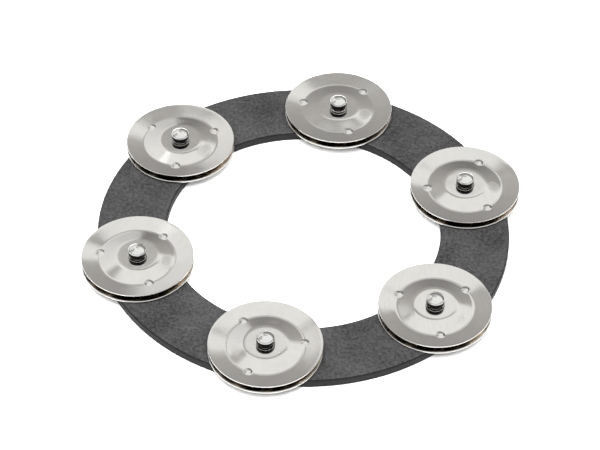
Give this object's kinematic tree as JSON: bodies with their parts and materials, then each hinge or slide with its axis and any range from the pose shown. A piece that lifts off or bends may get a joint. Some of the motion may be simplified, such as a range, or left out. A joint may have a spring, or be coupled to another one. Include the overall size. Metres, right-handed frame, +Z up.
{
  "type": "hi-hat jingle ring",
  "caption": "Flat open tambourine ring of dark plastic with pairs of loose bright steel jingles on domed rivets; it lies round a cymbal's bell.",
  "frame": {"origin": "centre of the ring on its underside", "axes": "+Z up through the ring, towards the jingles; +X to the right and +Y away as the ring is usually seen"},
  "size_m": [0.1618, 0.1652, 0.0117],
  "materials": {
    "ring_plastic": "fine leathery grain, dark grey",
    "jingle_steel": "polished plated sheet steel, faint rolling lines",
    "rivet_steel": "bright domed head",
    "washer_steel": "plain zinc-plated"
  },
  "bodies": {
    "ring": {"ring_plate": "ring_plastic", "rivet_1": "rivet_steel", "rivet_2": "rivet_steel", "rivet_3": "rivet_steel", "rivet_4": "rivet_steel", "rivet_5": "rivet_steel", "rivet_6": "rivet_steel", "washer_1": "washer_steel", "washer_2": "washer_steel", "washer_3": "washer_steel", "washer_4": "washer_steel", "washer_5": "washer_steel", "washer_6": "washer_steel"},
    "lower_1": {"lower_jingle_1": "jingle_steel"},
    "upper_1": {"upper_jingle_1": "jingle_steel"},
    "lower_2": {"lower_jingle_2": "jingle_steel"},
    "upper_2": {"upper_jingle_2": "jingle_steel"},
    "lower_3": {"lower_jingle_3": "jingle_steel"},
    "upper_3": {"upper_jingle_3": "jingle_steel"},
    "lower_4": {"lower_jingle_4": "jingle_steel"},
    "upper_4": {"upper_jingle_4": "jingle_steel"},
    "lower_5": {"lower_jingle_5": "jingle_steel"},
    "upper_5": {"upper_jingle_5": "jingle_steel"},
    "lower_6": {"lower_jingle_6": "jingle_steel"},
    "upper_6": {"upper_jingle_6": "jingle_steel"}
  },
  "joints": [
    {"name": "spin_1", "type": "hinge", "parent": "ring", "child": "lower_1", "pos_m": [0.06039, 0.01962, 0.0045], "axis": [0, 0, 1], "continuous": true},
    {"name": "clap_1", "type": "slide", "parent": "lower_1", "child": "upper_1", "axis": [0, 0, 1], "range_m": [0, 0.00065]},
    {"name": "spin_2", "type": "hinge", "parent": "ring", "child": "lower_2", "pos_m": [0.0132, 0.06211, 0.0045], "axis": [0, 0, 1], "continuous": true},
    {"name": "clap_2", "type": "slide", "parent": "lower_2", "child": "upper_2", "axis": [0, 0, 1], "range_m": [0, 0.00065]},
    {"name": "spin_3", "type": "hinge", "parent": "ring", "child": "lower_3", "pos_m": [-0.04719, 0.04249, 0.0045], "axis": [0, 0, 1], "continuous": true},
    {"name": "clap_3", "type": "slide", "parent": "lower_3", "child": "upper_3", "axis": [0, 0, 1], "range_m": [0, 0.00065]},
    {"name": "spin_4", "type": "hinge", "parent": "ring", "child": "lower_4", "pos_m": [-0.06039, -0.01962, 0.0045], "axis": [0, 0, 1], "continuous": true},
    {"name": "clap_4", "type": "slide", "parent": "lower_4", "child": "upper_4", "axis": [0, 0, 1], "range_m": [0, 0.00065]},
    {"name": "spin_5", "type": "hinge", "parent": "ring", "child": "lower_5", "pos_m": [-0.0132, -0.06211, 0.0045], "axis": [0, 0, 1], "continuous": true},
    {"name": "clap_5", "type": "slide", "parent": "lower_5", "child": "upper_5", "axis": [0, 0, 1], "range_m": [0, 0.00065]},
    {"name": "spin_6", "type": "hinge", "parent": "ring", "child": "lower_6", "pos_m": [0.04719, -0.04249, 0.0045], "axis": [0, 0, 1], "continuous": true},
    {"name": "clap_6", "type": "slide", "parent": "lower_6", "child": "upper_6", "axis": [0, 0, 1], "range_m": [0, 0.00065]}
  ]
}
